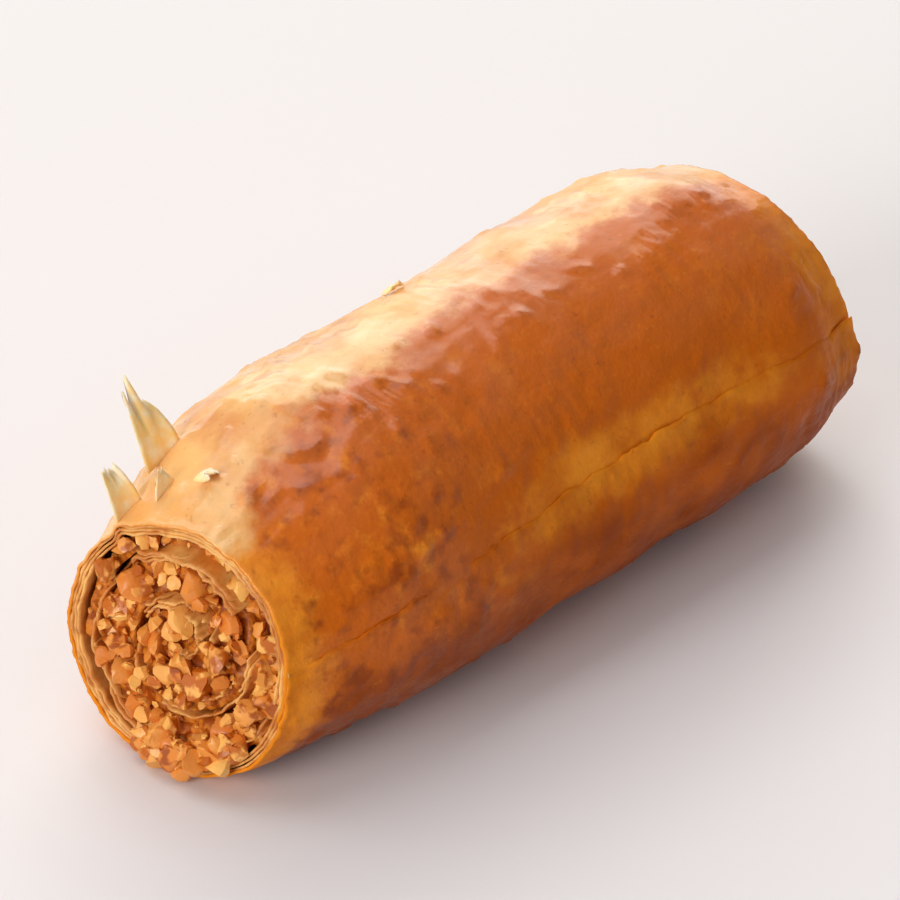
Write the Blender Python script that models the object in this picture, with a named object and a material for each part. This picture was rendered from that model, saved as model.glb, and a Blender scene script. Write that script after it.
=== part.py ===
"""Baklava nut finger: a short length cut from a roll of phyllo pastry filled with chopped nuts.

Lengths are in metres. +X runs along the finger and +Z is up. The origin is on the flat underside,
below the middle of the finger. Angles in a section are seen from +X, from +Y towards +Z. The pastry
is one sheet: a wall of leaves outside, and one leaf that runs on inwards as a spiral between the
nuts.
"""

import math
import random

import bmesh
import bpy
from mathutils import Matrix, Vector, noise

MM = 0.001
FULL_TURN = 2 * math.pi

# Size of the finger
FINGER_LENGTH = 40.8 * MM  # along the axis
ROLL_RADIUS = 9.4 * MM
FLAT_DEPTH = 8.3 * MM  # from the roll's axis down to the flat that it was baked on
SAG_START = 6.0 * MM  # below this depth the roll is pressed towards its flat
SAG_SHARE = 0.15  # part of the outermost depth that the pressing takes up
NEAR_CUT_TURN = math.radians(-8.4)  # the near cut faces a little towards -Y and upwards
NEAR_CUT_LEAN = math.radians(8.9)
FAR_CUT_TURN = math.radians(5.5)  # the far cut faces a little towards +Y and upwards
FAR_CUT_LEAN = math.radians(6)
BOW = 0.35 * MM  # the finger bends sideways by this much at its middle
BARREL = 0.04  # share of the radius that both ends are narrower by than the middle
NEAR_TAPER = 0.195  # share by which the near end is squeezed together
NEAR_TAPER_LENGTH = 9.0 * MM
NEAR_DROP = 1.4 * MM  # how far the axis comes down there, so that the end still lies on the table

# Pastry
LAP_ANGLE = math.radians(165)  # the sheet's free edge
LAP_WANDER = math.radians(3.5)
LAP_SWINGS = 0.9  # of the free edge, from cut to cut
LAP_SWING_START = 0.15
LAP_STEP = 0.36 * MM
WALL = 0.95 * MM
LEAF = 0.5 * MM
LEAF_PITCH = 3.2 * MM
LEAF_TURNS = 1.85
LEAF_WOBBLE = 0.55 * MM
LEAF_WOBBLE_STEP = 0.16  # how far the noise moves on from column to column
LEAF_SETTLING = 0.4  # turns in which the wobble sets in
CLEARANCE = 0.3 * MM
TIP_CLEARANCE = 1.6 * CLEARANCE
WALL_INSIDE = ROLL_RADIUS - LAP_STEP - WALL

# Cut edges: the roll narrows towards each, and the pastry stops unevenly short of the knife
NEAR_PINCH = 0.045
NEAR_PINCH_LENGTH = 1.6 * MM
FAR_PINCH = 0.13
FAR_PINCH_LENGTH = 4.6 * MM
CUT_RAG = 0.5 * MM
CUT_RAG_WAVES = 2.6  # how quickly it changes round the roll
CUT_RAG_APART = 9  # keeps the two cuts unlike

# Unevenness of the whole roll, then relief of the baked skin alone
LUMP = 0.03
LUMP_SIZE = 13.0 * MM
LUMP_RADIUS = 0.9 * ROLL_RADIUS  # where the noise for the lumps is read
LUMP_PLACE = Vector((3.1, 0.4, 7.7))
BLISTER = 0.34 * MM
BLISTER_SIZE = 4.2 * MM
HOLLOW_SHARE = 0.35  # of a blister's height, the deepest hollow between blisters
WRINKLE = 0.18 * MM
WRINKLE_LENGTH = 9.0 * MM
WRINKLE_WIDTH = 1.9 * MM
WRINKLE_SLANT = 0.5

# Nut filling
RECESS_TOP = 0.9 * MM  # how far the packed nuts stand behind the knife's plane
RECESS_BOTTOM = 0.2 * MM
GRAIN_LEAST = 0.48 * MM
GRAIN_MOST = 1.0 * MM
GRAINS_PER_END = 86
GRAIN_SPACING = 0.8  # centre distance as a share of the two radii together
GRAIN_TRIES = 9000
GRAIN_SEED = 14
GRAIN_BLUNTNESS = 0.72  # least share of its radius at which a corner stands
GRAIN_SUNK_LEAST = -0.1  # shares of its radius that a grain is sunk into the paste
GRAIN_SUNK_MOST = 0.5

# Nuts that have sagged over the lower lip of the near cut
SPILL_START = math.radians(226)
SPILL_STEP = math.radians(7.5)
SPILL_JITTER = 0.03
SPILL_COUNT = 9
SPILL_RADIUS = 7.5 * MM
SPILL_SCATTER = 0.35 * MM
SPILL_GRAIN = 0.74 * MM
SPILL_SMALLEST = 0.85  # share of the grain's size
SPILL_STANDS_OUT = 0.78 * MM

# Torn flakes on the near rim: angle, distance from the cut, length, width, lift in degrees
FLAKES = (
    (math.radians(46), 1.5 * MM, 3.2 * MM, 2.0 * MM, 55),
    (math.radians(47), 4.6 * MM, 4.4 * MM, 2.6 * MM, 58),
)
FLAKE_THICKNESS = 0.36 * MM
FLAKE_ROWS = 4
FLAKE_TIPS = (0.72, 1.0, 0.55)  # length of each third of a flake's torn edge
FLAKE_ROOT = 0.8 * MM  # how far a flake starts below the skin
FLAKE_NARROWING = 0.5  # share of its width that it loses towards its tip
FLAKE_THINNING = 0.3
FLAKE_CURL = 0.2  # share of its length by which the tip curls outwards
FLAKE_LEAN = 0.16  # the same towards the cut
FLAKE_BULGE = 0.08  # share of its width by which its middle bulges

# Mesh density
COLUMNS = 60
SKIN_STATIONS = 32
STATION_BUNCHING = 0.085  # how much closer together they are near both cuts
CORE_STATIONS = (0.0, NEAR_TAPER_LENGTH / FINGER_LENGTH, 0.6, 1.0)
LEAF_COLUMNS = round(LEAF_TURNS * COLUMNS)
LEAF_ROOT = 7  # columns from the free edge to where the inner leaf parts from the wall
CHANNEL_START = 15  # columns from there to where the gap between wall and leaf opens
FILLING_START = 27
CHANNEL_END = LEAF_COLUMNS + COLUMNS

# Finish
PASTRY_COLOUR = (0.50, 0.21, 0.055)
NUT_COLOUR = (0.56, 0.22, 0.06)
SHARP_EDGE = math.radians(40)


def clear_scene():
    for obj in list(bpy.data.objects):
        bpy.data.objects.remove(obj)


def baked_material(name, colour, roughness):
    material = bpy.data.materials.new(name)
    material.use_nodes = True
    shader = material.node_tree.nodes["Principled BSDF"]
    shader.inputs["Base Color"].default_value = (*colour, 1.0)
    shader.inputs["Roughness"].default_value = roughness
    shader.inputs["Metallic"].default_value = 0.0
    return material


def eased(share):
    """0 to 1 with no slope at either end."""
    share = min(max(share, 0.0), 1.0)
    return share * share * (3 - 2 * share)


def roll_angle(column, along):
    """Angle of a column, counted from the free edge of the sheet, which wanders along the finger."""
    wander = LAP_WANDER * math.sin(FULL_TURN * (LAP_SWINGS * along + LAP_SWING_START))
    return LAP_ANGLE + wander + FULL_TURN * column / COLUMNS


def pressed(height):
    """Height above the roll's axis after the roll has sagged onto its flat."""
    depth = -height
    if depth <= SAG_START:
        return height
    share = (depth - SAG_START) / (ROLL_RADIUS - SAG_START)
    return -(SAG_START + (depth - SAG_START) * (1 - SAG_SHARE * share))


def pinch(along):
    """Share of the outermost radius that is lost towards the ends, most of all close to a cut."""
    near = NEAR_PINCH * (1 - eased(FINGER_LENGTH * along / NEAR_PINCH_LENGTH))
    far = FAR_PINCH * (1 - eased(FINGER_LENGTH * (1 - along) / FAR_PINCH_LENGTH))
    return near + far + BARREL * (2 * along - 1) ** 2


def near_squeeze(along):
    """1 at the near cut, easing to 0 where the roll has its full thickness."""
    return 1 - eased(FINGER_LENGTH * along / NEAR_TAPER_LENGTH)


def placed(angle, radius, along, inward=0.0):
    """Point of the finger for an angle and a radius in the even roll, at 0 to 1 along its length."""
    x = FINGER_LENGTH * (along - 0.5)
    squeeze = near_squeeze(along)
    lump_at = Vector((x, LUMP_RADIUS * math.cos(angle), LUMP_RADIUS * math.sin(angle)))
    swell = 1 + LUMP * noise.noise(lump_at / LUMP_SIZE + LUMP_PLACE)
    swell *= (1 - NEAR_TAPER * squeeze) * (1 - pinch(along) * radius / ROLL_RADIUS)
    y = radius * swell * math.cos(angle)
    z = pressed(radius * swell * math.sin(angle)) - NEAR_DROP * squeeze
    z = max(z, -FLAT_DEPTH)
    near = y * math.tan(NEAR_CUT_TURN) + z * math.tan(NEAR_CUT_LEAN) + inward
    far = y * math.tan(FAR_CUT_TURN) + z * math.tan(FAR_CUT_LEAN) + inward
    x += (1 - along) * near - along * far
    y += BOW * (1 - (2 * along - 1) ** 2)
    return Vector((x, y, z + FLAT_DEPTH))


def skin_relief(angle, along):
    """How far the baked skin stands out: blisters between long shallow wrinkles."""
    x = FINGER_LENGTH * along
    y = ROLL_RADIUS * math.cos(angle)
    z = ROLL_RADIUS * math.sin(angle)
    blister = noise.noise(Vector((x, y, z)) / BLISTER_SIZE)
    across = 2 * ROLL_RADIUS * math.sin(angle / 2)
    crease_at = Vector((x / WRINKLE_LENGTH, (across + WRINKLE_SLANT * x) / WRINKLE_WIDTH, 4.2))
    return BLISTER * max(blister, -HOLLOW_SHARE) + WRINKLE * noise.noise(crease_at)


def ragged(angle, radius, along):
    """How far the cut pastry stands short of the knife's plane, at either end."""
    if 0.0 < along < 1.0:
        return 0.0
    at = Vector((math.cos(angle), math.sin(angle), 0)) * CUT_RAG_WAVES
    at.z = radius / MM + CUT_RAG_APART * along
    return CUT_RAG * max(0.5 + noise.noise(at), 0.0)


def skin_radius(column, angle, along):
    """Outside of the roll. It loses one sheet's thickness in a turn, back to the free edge."""
    return ROLL_RADIUS - LAP_STEP * column / COLUMNS + skin_relief(angle, along)


def leaf_inside(column):
    settled = eased((column - CHANNEL_START) / (LEAF_SETTLING * COLUMNS))
    wobble = LEAF_WOBBLE * settled * noise.noise(Vector((LEAF_WOBBLE_STEP * column, 0.5, 5.5)))
    return WALL_INSIDE - LEAF_PITCH * column / COLUMNS + wobble


def leaf_outside(column):
    return leaf_inside(column) + LEAF


def channel_outside(column):
    """Outer side of the gap that the nuts fill: the wall for one turn, then the leaf's own inside."""
    return WALL_INSIDE if column <= COLUMNS else leaf_inside(column - COLUMNS)


def skin_stations():
    """Places along the finger, closer together near both cuts."""
    shares = [i / (SKIN_STATIONS - 1) for i in range(SKIN_STATIONS)]
    return [share - STATION_BUNCHING * math.sin(FULL_TURN * share) for share in shares]


def solid_mesh(bm, name):
    bmesh.ops.triangulate(bm, faces=bm.faces, ngon_method="EAR_CLIP")
    bmesh.ops.recalc_face_normals(bm, faces=bm.faces)
    mesh = bpy.data.meshes.new(name)
    bm.to_mesh(mesh)
    bm.free()
    return mesh


def pastry_point(bm, column, radius, along):
    angle = roll_angle(column, along)
    return bm.verts.new(placed(angle, radius, along, ragged(angle, radius, along)))


def add_skin(bm):
    """The outside of the roll. Each row has one point more than columns, below the free edge."""
    rows = []
    for along in skin_stations():
        row = []
        for column in range(COLUMNS + 1):
            radius = skin_radius(column, roll_angle(column, along), along)
            row.append(pastry_point(bm, column, radius, along))
        rows.append(row)
    for row, following in zip(rows, rows[1:]):
        for column in range(COLUMNS):
            corners = (row[column], row[column + 1], following[column + 1], following[column])
            bm.faces.new(corners)
        bm.faces.new((row[COLUMNS], row[0], following[0], following[COLUMNS]))
    return rows


def add_channel(bm):
    """The faces that line the spiral gap. Returns, per station, the gap's outer and inner points."""
    rows = []
    for along in CORE_STATIONS:
        # Over the leaf's root nothing is open, so only the two ends have points there
        first = 0 if along in (0.0, 1.0) else CHANNEL_START
        outer = {}
        for column in range(first, CHANNEL_END + 1):
            outer[column] = pastry_point(bm, LEAF_ROOT + column, channel_outside(column), along)
        inner = {}
        for column in range(CHANNEL_START, LEAF_COLUMNS + 1):
            inner[column] = pastry_point(bm, LEAF_ROOT + column, leaf_outside(column), along)
        rows.append((outer, inner))
    start, tip, end = CHANNEL_START, LEAF_COLUMNS, CHANNEL_END
    for (outer, inner), (next_outer, next_inner) in zip(rows, rows[1:]):
        for column in range(start, end):
            corners = (next_outer[column], next_outer[column + 1], outer[column + 1], outer[column])
            bm.faces.new(corners)
        for column in range(start, tip):
            corners = (inner[column], inner[column + 1], next_inner[column + 1], next_inner[column])
            bm.faces.new(corners)
        bm.faces.new((outer[start], inner[start], next_inner[start], next_outer[start]))
        bm.faces.new((inner[tip], outer[end], next_outer[end], next_inner[tip]))
    return rows


def add_cut_end(bm, skin, outer, inner):
    """The pastry that shows at one cut: the wall's ring, and the leaf that leaves it."""

    def wall_point(column):
        """The wall's inner point, for a column counted from the free edge."""
        return outer[(column - LEAF_ROOT) % COLUMNS]

    bm.faces.new((skin[0], skin[1], wall_point(1), wall_point(0), skin[COLUMNS]))
    for column in range(1, COLUMNS):
        bm.faces.new((skin[column], skin[column + 1], wall_point(column + 1), wall_point(column)))
    leaf = {column: outer[column + COLUMNS] for column in range(LEAF_COLUMNS + 1)}
    start = CHANNEL_START
    for column in range(start - 1):
        bm.faces.new((outer[column], outer[column + 1], leaf[column + 1], leaf[column]))
    bm.faces.new((outer[start - 1], outer[start], inner[start], leaf[start], leaf[start - 1]))
    for column in range(start, LEAF_COLUMNS):
        bm.faces.new((inner[column], inner[column + 1], leaf[column + 1], leaf[column]))


def roll_mesh():
    bm = bmesh.new()
    skin = add_skin(bm)
    channel = add_channel(bm)
    add_cut_end(bm, skin[0], *channel[0])
    add_cut_end(bm, skin[-1], *channel[-1])
    # The leaf's root is one point of the wall, reached twice
    bmesh.ops.remove_doubles(bm, verts=bm.verts, dist=0.001 * MM)
    return solid_mesh(bm, "phyllo_roll")


def filling_sides(along):
    """Angle and radius of the filling's points, on its outer and on its inner side."""
    outer = {}
    for column in range(FILLING_START, CHANNEL_END + 1):
        angle = roll_angle(LEAF_ROOT + column, along)
        outer[column] = (angle, channel_outside(column) - CLEARANCE)
    inner = {}
    for column in range(FILLING_START, LEAF_COLUMNS + 1):
        angle = roll_angle(LEAF_ROOT + column, along)
        inner[column] = (angle, leaf_outside(column) + CLEARANCE)
    tip_radius = leaf_inside(LEAF_COLUMNS) + LEAF / 2
    tip_angle = roll_angle(LEAF_ROOT + LEAF_COLUMNS, along) + TIP_CLEARANCE / tip_radius
    inner[LEAF_COLUMNS + 1] = (tip_angle, tip_radius)
    return outer, inner


def recess(angle, radius):
    """How far the packed nuts stand behind the knife's plane: they have sagged out at the bottom."""
    height = 0.5 + 0.5 * radius * math.sin(angle) / WALL_INSIDE
    return RECESS_BOTTOM + (RECESS_TOP - RECESS_BOTTOM) * height


def filling_points(bm, side, along):
    points = {}
    for column, (angle, radius) in side.items():
        inward = recess(angle, radius) if along in (0.0, 1.0) else 0.0
        points[column] = bm.verts.new(placed(angle, radius, along, inward))
    return points


def filling_mesh():
    bm = bmesh.new()
    rows = []
    for along in CORE_STATIONS:
        outer, inner = filling_sides(along)
        rows.append((filling_points(bm, outer, along), filling_points(bm, inner, along)))
    start, tip, end = FILLING_START, LEAF_COLUMNS + 1, CHANNEL_END
    for (outer, inner), (next_outer, next_inner) in zip(rows, rows[1:]):
        for column in range(start, end):
            corners = (outer[column], outer[column + 1], next_outer[column + 1], next_outer[column])
            bm.faces.new(corners)
        for column in range(start, tip):
            corners = (next_inner[column], next_inner[column + 1], inner[column + 1], inner[column])
            bm.faces.new(corners)
        bm.faces.new((outer[start], next_outer[start], next_inner[start], inner[start]))
        bm.faces.new((outer[end], inner[tip], next_inner[tip], next_outer[end]))
    for outer, inner in (rows[0], rows[-1]):
        bm.faces.new(list(outer.values()) + list(reversed(inner.values())))
    return solid_mesh(bm, "nut_filling")


def section_point(spot):
    angle, radius = spot
    return Vector((radius * math.cos(angle), radius * math.sin(angle)))


def distance_to_outline(point, outline):
    nearest = FINGER_LENGTH
    for start, end in zip(outline, outline[1:] + outline[:1]):
        span = end - start
        share = min(max((point - start).dot(span) / span.length_squared, 0.0), 1.0)
        nearest = min(nearest, (point - start - span * share).length)
    return nearest


def is_inside(point, outline):
    """Even and odd crossings of the outline."""
    inside = False
    for start, end in zip(outline, outline[1:] + outline[:1]):
        if (start.y > point.y) != (end.y > point.y):
            crossing = start.x + (point.y - start.y) / (end.y - start.y) * (end.x - start.x)
            inside ^= point.x < crossing
    return inside


def grain_spots(along, draw):
    """Centres and radii, in the even roll's section, of nut pieces that fill one cut face."""
    outer, inner = filling_sides(along)
    outline = [section_point(spot) for spot in outer.values()]
    outline += [section_point(spot) for spot in reversed(inner.values())]
    found = []
    for attempt in range(GRAIN_TRIES):
        if len(found) == GRAINS_PER_END:
            break
        reach = WALL_INSIDE * math.sqrt(draw.random())
        angle = FULL_TURN * draw.random()
        point = Vector((reach * math.cos(angle), reach * math.sin(angle)))
        # Large pieces come first, and later ones fit into the gaps that are left
        wish = GRAIN_MOST - (GRAIN_MOST - GRAIN_LEAST) * attempt / GRAIN_TRIES
        if not is_inside(point, outline):
            continue
        radius = min(wish, distance_to_outline(point, outline))
        if radius < GRAIN_LEAST:
            continue
        if any((point - other).length < GRAIN_SPACING * (radius + size) for other, size in found):
            continue
        found.append((point, radius))
    return found


def add_grain(centre, radius, draw, collection):
    """One chopped nut piece: a blunt irregular chip."""
    bm = bmesh.new()
    bmesh.ops.create_icosphere(bm, subdivisions=1, radius=radius)
    turn = Matrix.Rotation(draw.uniform(0, FULL_TURN), 3, "X")
    turn = turn @ Matrix.Rotation(draw.uniform(0, FULL_TURN), 3, "Z")
    for vert in bm.verts:
        vert.co = centre + turn @ vert.co * draw.uniform(GRAIN_BLUNTNESS, 1.0)
    mesh = bpy.data.meshes.new("nut_piece")
    bm.to_mesh(mesh)
    bm.free()
    collection.objects.link(bpy.data.objects.new("nut_piece", mesh))


def add_face_grains(along, draw, collection):
    for point, radius in grain_spots(along, draw):
        angle = math.atan2(point.y, point.x)
        size = radius * (1 - NEAR_TAPER * near_squeeze(along))
        inward = recess(angle, point.length) - draw.uniform(GRAIN_SUNK_LEAST, GRAIN_SUNK_MOST) * size
        add_grain(placed(angle, point.length, along, inward), size, draw, collection)


def add_spilled_grains(draw, collection):
    for i in range(SPILL_COUNT):
        angle = SPILL_START + i * SPILL_STEP + draw.uniform(-SPILL_JITTER, SPILL_JITTER)
        radius = SPILL_RADIUS + draw.uniform(-SPILL_SCATTER, SPILL_SCATTER)
        size = SPILL_GRAIN * draw.uniform(SPILL_SMALLEST, 1.0)
        centre = placed(angle, radius, 0.0, -SPILL_STANDS_OUT)
        add_grain(centre, size, draw, collection)


def flake_mesh(angle, from_cut, length, width, lift_degrees):
    """A torn scrap of sheet that leaves the skin and curls outwards, wide at its root."""
    along = from_cut / FINGER_LENGTH
    root = placed(angle, skin_radius(0, angle, along) - LAP_STEP / 2, along)
    outward = Vector((0, math.cos(angle), math.sin(angle)))
    forward = Vector((1, 0, 0))
    sideways = forward.cross(outward)
    lift = math.radians(lift_degrees)
    rise = sideways * math.cos(lift) + outward * math.sin(lift)
    thick = outward * math.cos(lift) - sideways * math.sin(lift)
    bm = bmesh.new()
    rows = []
    for i in range(FLAKE_ROWS + 1):
        share = i / FLAKE_ROWS
        half = width / 2 * (1 - FLAKE_NARROWING * share**1.5)
        curl = thick * (FLAKE_CURL * length * share * share) - forward * (FLAKE_LEAN * length * share)
        sunk = outward * (FLAKE_ROOT * (1 - share) ** 2)
        thin = FLAKE_THICKNESS / 2 * (1 - FLAKE_THINNING * share)
        row = []
        for across, tip in zip((-1, 0, 1), FLAKE_TIPS):
            reach = length * share * (1 + (tip - 1) * share)
            bulge = thick * (FLAKE_BULGE * width * (1 - across * across))
            row.append(root + rise * reach + curl + bulge - sunk + forward * (half * across))
        over = [bm.verts.new(co + thick * thin) for co in row]
        under = [bm.verts.new(co - thick * thin) for co in row]
        rows.append(over + under[::-1])
    for row, following in zip(rows, rows[1:]):
        for corner in range(len(row)):
            beside = (corner + 1) % len(row)
            bm.faces.new((row[corner], row[beside], following[beside], following[corner]))
    bm.faces.new(reversed(rows[0]))
    bm.faces.new(rows[-1])
    return solid_mesh(bm, "flake")


def fuse(base, collection):
    """Joins all of a collection's objects into the base, then removes them."""
    union = base.modifiers.new("union", "BOOLEAN")
    union.operation = "UNION"
    union.operand_type = "COLLECTION"
    union.collection = collection
    union.solver = "MANIFOLD"
    graph = bpy.context.evaluated_depsgraph_get()
    fused = bpy.data.meshes.new_from_object(base.evaluated_get(graph))
    base.modifiers.remove(union)
    base.data = fused
    for obj in list(collection.objects):
        bpy.data.objects.remove(obj)
    bpy.data.collections.remove(collection)


def drop_loose_scraps(obj):
    """Keeps only the body with the most points."""
    bm = bmesh.new()
    bm.from_mesh(obj.data)
    unseen = set(bm.verts)
    bodies = []
    while unseen:
        waiting = [unseen.pop()]
        body = list(waiting)
        while waiting:
            for edge in waiting.pop().link_edges:
                for vert in unseen.intersection(edge.verts):
                    unseen.discard(vert)
                    body.append(vert)
                    waiting.append(vert)
        bodies.append(body)
    bodies.sort(key=len, reverse=True)
    scraps = [vert for body in bodies[1:] for vert in body]
    bmesh.ops.delete(bm, geom=scraps, context="VERTS")
    bm.to_mesh(obj.data)
    bm.free()


def gathered(name):
    collection = bpy.data.collections.new(name)
    bpy.context.scene.collection.children.link(collection)
    return collection


def node_object(mesh, material):
    obj = bpy.data.objects.new(mesh.name, mesh)
    obj.data.materials.append(material)
    bpy.context.scene.collection.objects.link(obj)
    return obj


def build_phyllo_roll():
    roll = node_object(roll_mesh(), baked_material("phyllo_glazed", PASTRY_COLOUR, 0.38))
    flakes = gathered("flakes")
    for flake in FLAKES:
        flakes.objects.link(bpy.data.objects.new("flake", flake_mesh(*flake)))
    fuse(roll, flakes)
    drop_loose_scraps(roll)
    return roll


def build_nut_filling():
    filling = node_object(filling_mesh(), baked_material("chopped_nuts", NUT_COLOUR, 0.5))
    draw = random.Random(GRAIN_SEED)
    grains = gathered("nut_pieces")
    add_face_grains(0.0, draw, grains)
    add_spilled_grains(draw, grains)
    add_face_grains(1.0, draw, grains)
    fuse(filling, grains)
    drop_loose_scraps(filling)
    return filling


def centre_on_origin(objects):
    """Moves the finger so that the origin is below the middle of its box."""
    corners = [vert.co for obj in objects for vert in obj.data.vertices]
    middle_x = (min(co.x for co in corners) + max(co.x for co in corners)) / 2
    middle_y = (min(co.y for co in corners) + max(co.y for co in corners)) / 2
    for obj in objects:
        obj.data.transform(Matrix.Translation((-middle_x, -middle_y, 0)))


def shade(objects):
    for obj in objects:
        obj.data.shade_smooth()
        obj.data.set_sharp_from_angle(angle=SHARP_EDGE)


def main():
    clear_scene()
    objects = [build_phyllo_roll(), build_nut_filling()]
    centre_on_origin(objects)
    shade(objects)


main()
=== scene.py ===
import math
from functools import partial

import bmesh
import bpy
from bpy.props import FloatProperty, FloatVectorProperty, IntProperty, PointerProperty
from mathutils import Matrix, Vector


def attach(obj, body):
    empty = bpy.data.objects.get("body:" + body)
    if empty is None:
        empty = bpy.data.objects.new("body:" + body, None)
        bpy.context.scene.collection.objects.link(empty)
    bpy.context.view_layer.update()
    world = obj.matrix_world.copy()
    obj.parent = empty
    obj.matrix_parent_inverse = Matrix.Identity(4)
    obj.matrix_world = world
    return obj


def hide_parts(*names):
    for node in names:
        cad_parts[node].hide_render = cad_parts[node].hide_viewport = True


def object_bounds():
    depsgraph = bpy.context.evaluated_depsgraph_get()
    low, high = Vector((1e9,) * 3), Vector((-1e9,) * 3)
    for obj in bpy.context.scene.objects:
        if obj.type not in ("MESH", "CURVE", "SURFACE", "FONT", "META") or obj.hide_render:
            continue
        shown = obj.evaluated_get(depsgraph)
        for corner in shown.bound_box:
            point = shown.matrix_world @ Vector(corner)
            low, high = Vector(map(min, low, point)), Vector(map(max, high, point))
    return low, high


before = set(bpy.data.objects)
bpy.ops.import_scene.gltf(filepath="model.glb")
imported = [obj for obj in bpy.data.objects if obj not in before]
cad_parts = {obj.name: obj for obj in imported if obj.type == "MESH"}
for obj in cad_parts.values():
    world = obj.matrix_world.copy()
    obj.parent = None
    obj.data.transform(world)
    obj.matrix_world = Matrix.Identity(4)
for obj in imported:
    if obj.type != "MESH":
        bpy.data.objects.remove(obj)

bl_info = {
    "name": "Baklava nut finger",
    "version": (1, 0, 0),
    "blender": (4, 5, 0),
    "location": "3D View > Sidebar > Baklava",
    "description": "Dresses the solids of a baklava finger with rolled leaves and chopped nuts",
    "category": "Object",
}

MM = 0.001
FULL_TURN = 2 * math.pi
GOLDEN_TURN = FULL_TURN * 0.618034
CAD_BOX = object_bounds()
PASTRY_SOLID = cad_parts["phyllo_roll"]

# The solid's skin is looked for along rays. They stay this share of the length inside the cuts, start
# this many radii from the axis and go in by this many. Whatever is higher than the last share of the
# even roll's radius is a flake
PROBE_INSET = 0.014
PROBE_FROM = 1.25
PROBE_DEPTH = 0.9
HIGHEST_SKIN = 1.045

CHIP_KINDS = 6
CHIP_CUTS = 4
FLAKE_ROOT_RADIUS = 9.1 * MM
TABLE_HALF_WIDTH = 1.5

# How far the relief of the baked skin stands out or lies deep
WRINKLE_HEIGHT = 0.2 * MM
CREASE_HEIGHT = 0.1 * MM
BLISTER_HEIGHT = 0.16 * MM
DENT_DEPTH = 0.09 * MM
PLEAT_HEIGHT = 0.4 * MM

# Soft light from above, a window behind to the right that shines on the glaze, and a weak fill
LAMPS = {
    "ceiling": {"place": (0.0, 0.4, 0.88), "size": 0.9, "power": 3.8, "colour": (1.0, 0.97, 0.94)},
    "window": {"place": (0.6, 0.7, 0.44), "size": 0.95, "power": 7.0, "colour": (1.0, 0.94, 0.82)},
    "fill": {"place": (-0.85, -0.05, 0.38), "size": 0.5, "power": 5.0, "colour": (1.0, 0.95, 0.88)},
}
ROOM_COLOUR = "#F6F5F4"
ROOM_LIGHT = 0.36

# Short words for the nodes that are used most. A ramp eases from one value to another. A noise's
# scale is one over the size of its lumps
SHORT_WORDS = {
    "XYZ": ("ShaderNodeCombineXYZ", {}),
    "PARTS": ("ShaderNodeSeparateXYZ", {}),
    "RAMP": ("ShaderNodeMapRange", {"interpolation_type": "SMOOTHSTEP"}),
    "MIX": ("ShaderNodeMix", {}),
    "MIX VECTOR": ("ShaderNodeMix", {"data_type": "VECTOR"}),
    "MIX COLOUR": ("ShaderNodeMix", {"data_type": "RGBA"}),
    "NOISE": ("ShaderNodeTexNoise", {"noise_dimensions": "4D"}),
    "GROUP": ("GeometryNodeGroup", {}),
}


# Settings

LengthProperty = partial(FloatProperty, unit="LENGTH")
AngleProperty = partial(FloatProperty, subtype="ANGLE")
ColourProperty = partial(FloatVectorProperty, subtype="COLOR")


class FingerSettings(bpy.types.PropertyGroup):
    """The finger's form, as in its solids. Turns are counted from the free edge of the sheet."""

    length: LengthProperty(name="Length", description="From cut to cut", default=40.8 * MM)
    radius: LengthProperty(name="Radius", description="Of the even roll", default=9.4 * MM)
    axis_place: FloatVectorProperty(
        name="Axis place",
        description="Middle of the roll's axis",
        default=(0.684 * MM, -0.385 * MM, 8.3 * MM),
        subtype="TRANSLATION",
        unit="LENGTH",
    )
    lap_angle: AngleProperty(
        name="Lap angle", description="Of the free edge, from +Y towards +Z", default=math.radians(165)
    )
    lap_wander: AngleProperty(
        name="Lap wander", description="Swing of the free edge", default=math.radians(3.5)
    )
    lap_step: LengthProperty(name="Lap step", description="Height of the free edge", default=0.36 * MM)
    near_cut_turn: AngleProperty(
        name="Near cut turn", description="How askew it is", default=math.radians(-8.4)
    )
    near_cut_lean: AngleProperty(
        name="Near cut lean", description="How the knife leant", default=math.radians(8.9)
    )
    far_cut_turn: AngleProperty(
        name="Far cut turn", description="How askew it is", default=math.radians(5.5)
    )
    far_cut_lean: AngleProperty(
        name="Far cut lean", description="How the knife leant", default=math.radians(6)
    )
    bow: LengthProperty(name="Bow", description="Sideways bend", default=0.35 * MM)
    taper: FloatProperty(name="Taper", description="Share by which the near end is squeezed", default=0.195)
    taper_length: LengthProperty(name="Taper length", description="Of the squeezed end", default=9 * MM)
    drop: LengthProperty(name="Drop", description="How far the axis comes down there", default=1.4 * MM)


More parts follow.
